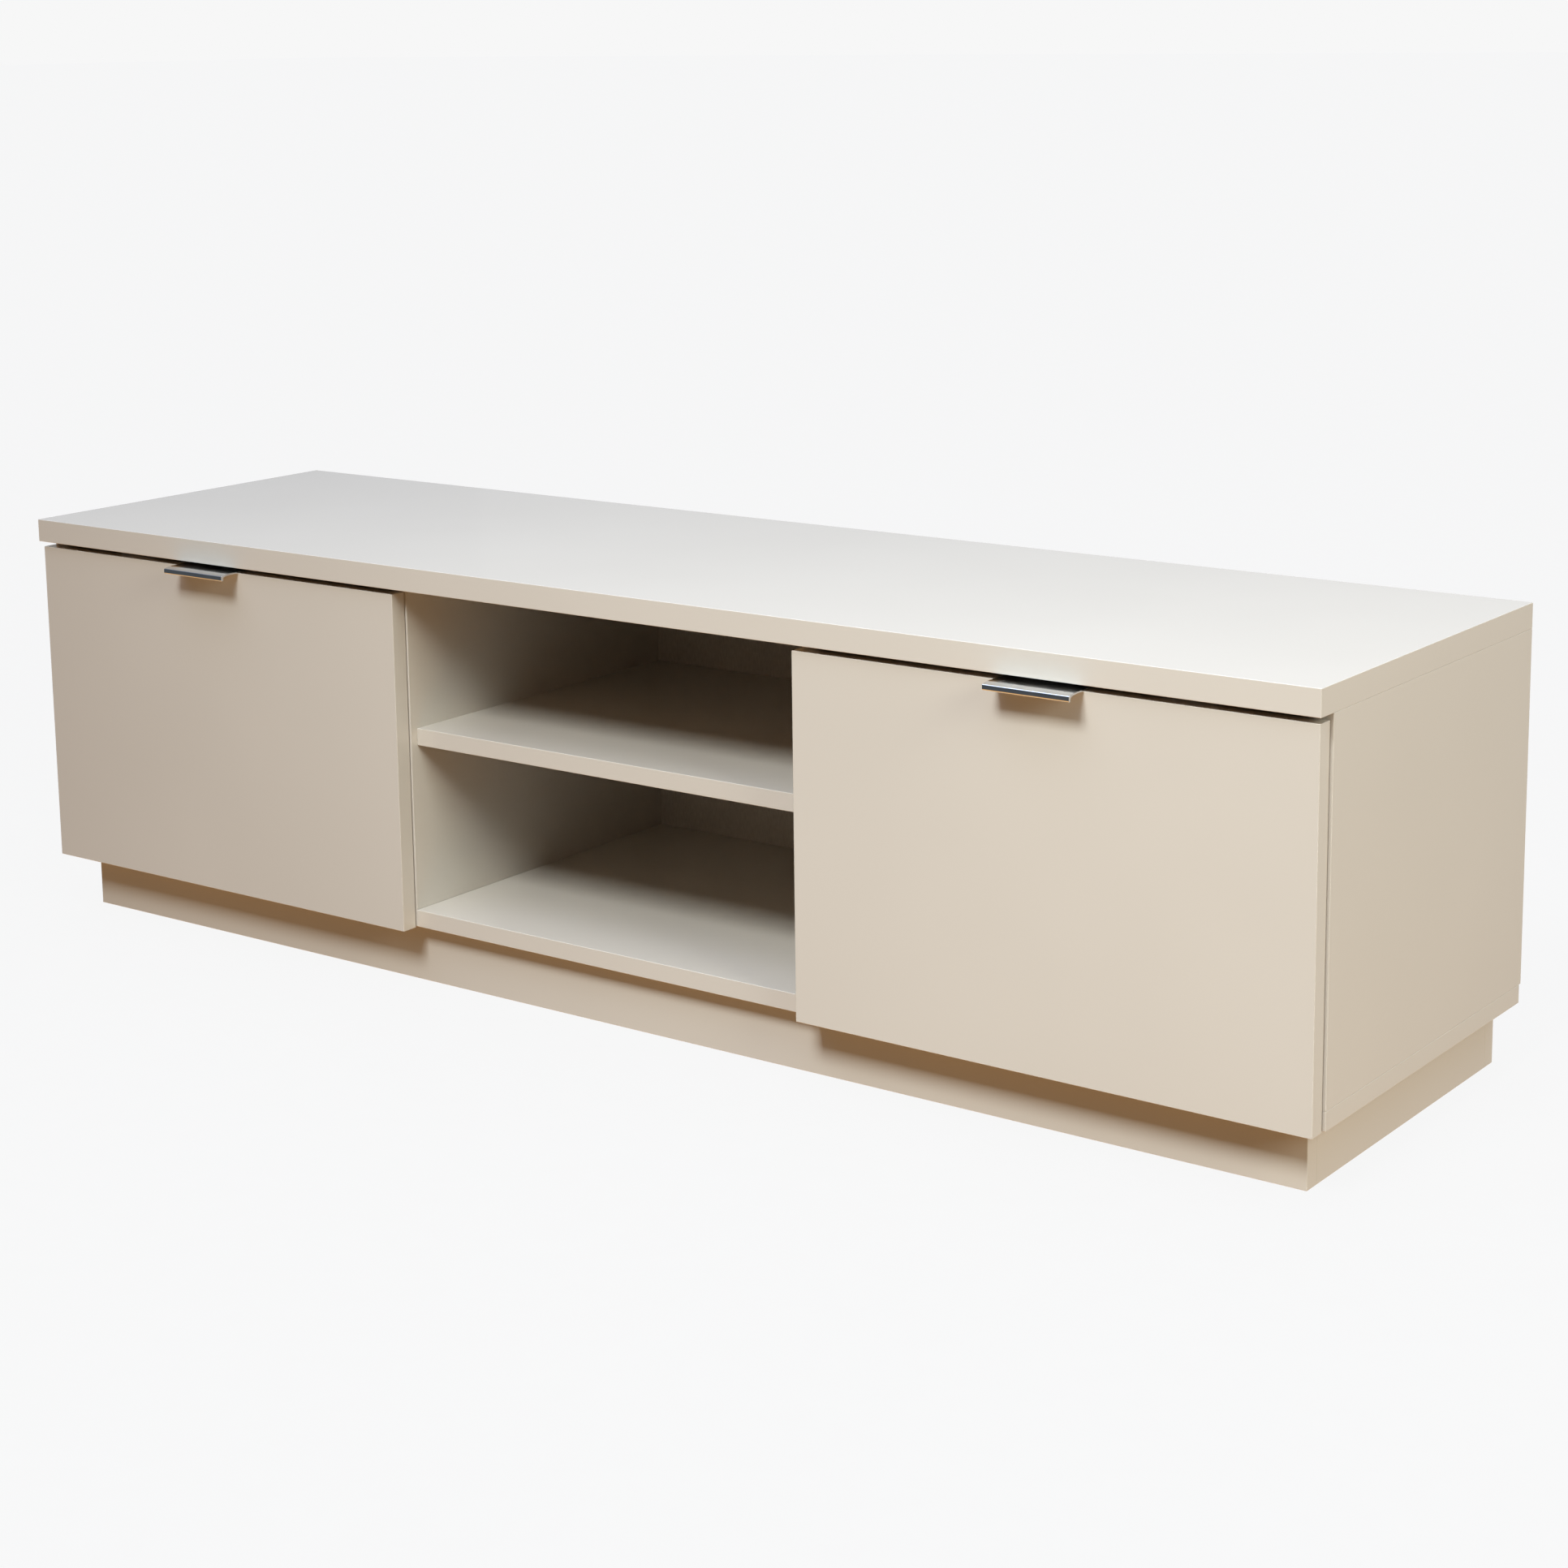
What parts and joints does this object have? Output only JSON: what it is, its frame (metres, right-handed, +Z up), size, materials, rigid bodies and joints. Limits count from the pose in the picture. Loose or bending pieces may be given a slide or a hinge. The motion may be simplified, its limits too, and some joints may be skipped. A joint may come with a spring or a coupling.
{
  "type": "tv stand",
  "caption": "Low television bench with a slab top, a recessed plinth, an open middle bay with a shelf, and drop-down flap doors with lip handles.",
  "frame": {"origin": "on the floor, under the middle of the box that holds the whole bench, handles and screw heads included", "axes": "+X along the width, towards the viewer's right; +Y to the back; +Z up"},
  "size_m": [1.4, 0.4058, 0.4],
  "materials": {
    "gloss_board": "high-gloss beige lacquer on board",
    "back_board": "satin beige printed fibreboard",
    "polished_chrome": "polished",
    "nickel_steel": "nickel-plated steel",
    "zinc_steel": "bright zinc plate",
    "beech": "plain beech",
    "grey_plastic": "moulded nylon",
    "soft_pad": "clear soft pad"
  },
  "bodies": {
    "carcass": {"top_panel": "gloss_board", "base_panel": "gloss_board", "side_panel_left": "gloss_board", "side_panel_right": "gloss_board", "divider_left": "gloss_board", "divider_right": "gloss_board", "centre_shelf": "gloss_board", "inner_shelf_left": "gloss_board", "inner_shelf_right": "gloss_board", "shelf_pins": "zinc_steel", "back_panel_left": "back_board", "back_panel_centre": "back_board", "back_panel_right": "back_board", "back_screws": "zinc_steel", "plinth_front": "gloss_board", "plinth_back": "gloss_board", "plinth_left": "gloss_board", "plinth_right": "gloss_board", "plinth_rails": "gloss_board", "plinth_angles": "zinc_steel", "plinth_screws": "zinc_steel", "cam_locks": "zinc_steel", "cam_bolts": "zinc_steel", "dowels": "beech", "hinge_arms": "nickel_steel", "hinge_plates": "nickel_steel", "plate_screws": "zinc_steel", "stay_brackets": "nickel_steel", "stay_screws": "zinc_steel", "magnet_catches": "grey_plastic", "catch_screws": "zinc_steel"},
    "flap_left": {"door_left": "gloss_board", "handle_left": "polished_chrome", "handle_screws_left": "zinc_steel", "hinge_cups_left": "nickel_steel", "hinge_pins_left": "nickel_steel", "cup_screws_left": "zinc_steel", "stay_clip_left": "nickel_steel", "clip_screws_left": "zinc_steel", "strikers_left": "zinc_steel", "door_pads_left": "soft_pad"},
    "guide_left": {"stay_guide_left": "grey_plastic"},
    "rod_left": {"stay_rod_left": "nickel_steel"},
    "flap_right": {"door_right": "gloss_board", "handle_right": "polished_chrome", "handle_screws_right": "zinc_steel", "hinge_cups_right": "nickel_steel", "hinge_pins_right": "nickel_steel", "cup_screws_right": "zinc_steel", "stay_clip_right": "nickel_steel", "clip_screws_right": "zinc_steel", "strikers_right": "zinc_steel", "door_pads_right": "soft_pad"},
    "guide_right": {"stay_guide_right": "grey_plastic"},
    "rod_right": {"stay_rod_right": "nickel_steel"}
  },
  "joints": [
    {"name": "flap_left_hinge", "type": "hinge", "parent": "carcass", "child": "flap_left", "pos_m": [-0.4605, -0.1714, 0.059], "axis": [1, 0, 0], "range_deg": [0, 90]},
    {"name": "guide_left_swivel", "type": "hinge", "parent": "carcass", "child": "guide_left", "pos_m": [-0.6685, -0.06215, 0.1892], "axis": [1, 0, 0], "range_deg": [0, 45]},
    {"name": "rod_left_swivel", "type": "hinge", "parent": "flap_left", "child": "rod_left", "pos_m": [-0.6685, -0.1569, 0.22834], "axis": [1, 0, 0], "range_deg": [-45, 0]},
    {"name": "flap_right_hinge", "type": "hinge", "parent": "carcass", "child": "flap_right", "pos_m": [0.4605, -0.1714, 0.059], "axis": [1, 0, 0], "range_deg": [0, 90]},
    {"name": "guide_right_swivel", "type": "hinge", "parent": "carcass", "child": "guide_right", "pos_m": [0.6685, -0.06215, 0.1892], "axis": [1, 0, 0], "range_deg": [0, 45]},
    {"name": "rod_right_swivel", "type": "hinge", "parent": "flap_right", "child": "rod_right", "pos_m": [0.6685, -0.1569, 0.22834], "axis": [1, 0, 0], "range_deg": [-45, 0]}
  ],
  "couplings": [
    {"joint": "guide_left_swivel", "follows": "flap_left_hinge", "ratio": 0.5},
    {"joint": "rod_left_swivel", "follows": "flap_left_hinge", "ratio": -0.5},
    {"joint": "guide_right_swivel", "follows": "flap_right_hinge", "ratio": 0.5},
    {"joint": "rod_right_swivel", "follows": "flap_right_hinge", "ratio": -0.5}
  ]
}
